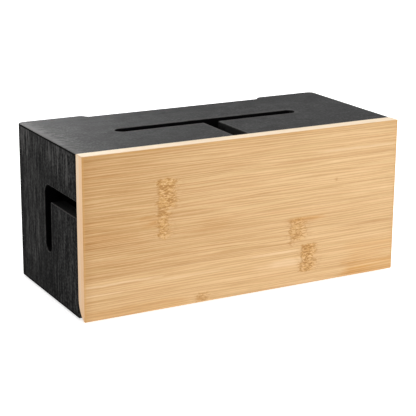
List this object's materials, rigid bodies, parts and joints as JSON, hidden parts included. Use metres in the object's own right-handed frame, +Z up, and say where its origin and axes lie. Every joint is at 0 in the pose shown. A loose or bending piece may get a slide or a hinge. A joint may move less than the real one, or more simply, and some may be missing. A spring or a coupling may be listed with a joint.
{
  "type": "cable management box",
  "caption": "Black-stained bamboo box that hides a power strip and cables, slotted in its top and sides, with a pull-off bamboo front held by magnets.",
  "frame": {"origin": "centre of the whole box's bounding box at its lowest level, the soles of the foot pads", "axes": "+X to the right as the bamboo front is seen, +Y from the front to the back, +Z up"},
  "size_m": [0.3, 0.1402, 0.1383],
  "materials": {
    "black_stained_bamboo": "satin black stain with fine open grain",
    "natural_bamboo": "satin clear lacquer on side-pressed strips",
    "plain_wood": "planed",
    "nickel_plate": "bright nickel",
    "black_rubber": "matt"
  },
  "bodies": {
    "carcass": {"back_board": "black_stained_bamboo", "bottom_board": "black_stained_bamboo", "carcass_magnet_bottom_left": "nickel_plate", "carcass_magnet_bottom_right": "nickel_plate", "carcass_magnet_top_left": "nickel_plate", "carcass_magnet_top_right": "nickel_plate", "corner_spline_bottom_left": "plain_wood", "corner_spline_bottom_right": "plain_wood", "corner_spline_top_left": "plain_wood", "corner_spline_top_right": "plain_wood", "foot_pad_front_left": "black_rubber", "foot_pad_front_right": "black_rubber", "foot_pad_rear_left": "black_rubber", "foot_pad_rear_right": "black_rubber", "left_side_board": "black_stained_bamboo", "right_side_board": "black_stained_bamboo", "top_board": "black_stained_bamboo"},
    "front": {"front_panel": "natural_bamboo", "panel_magnet_bottom_left": "nickel_plate", "panel_magnet_bottom_right": "nickel_plate", "panel_magnet_top_left": "nickel_plate", "panel_magnet_top_right": "nickel_plate"}
  },
  "joints": [
    {"name": "front_panel_pull", "type": "slide", "parent": "carcass", "child": "front", "axis": [0, -1, 0], "range_m": [0, 0.15]}
  ]
}
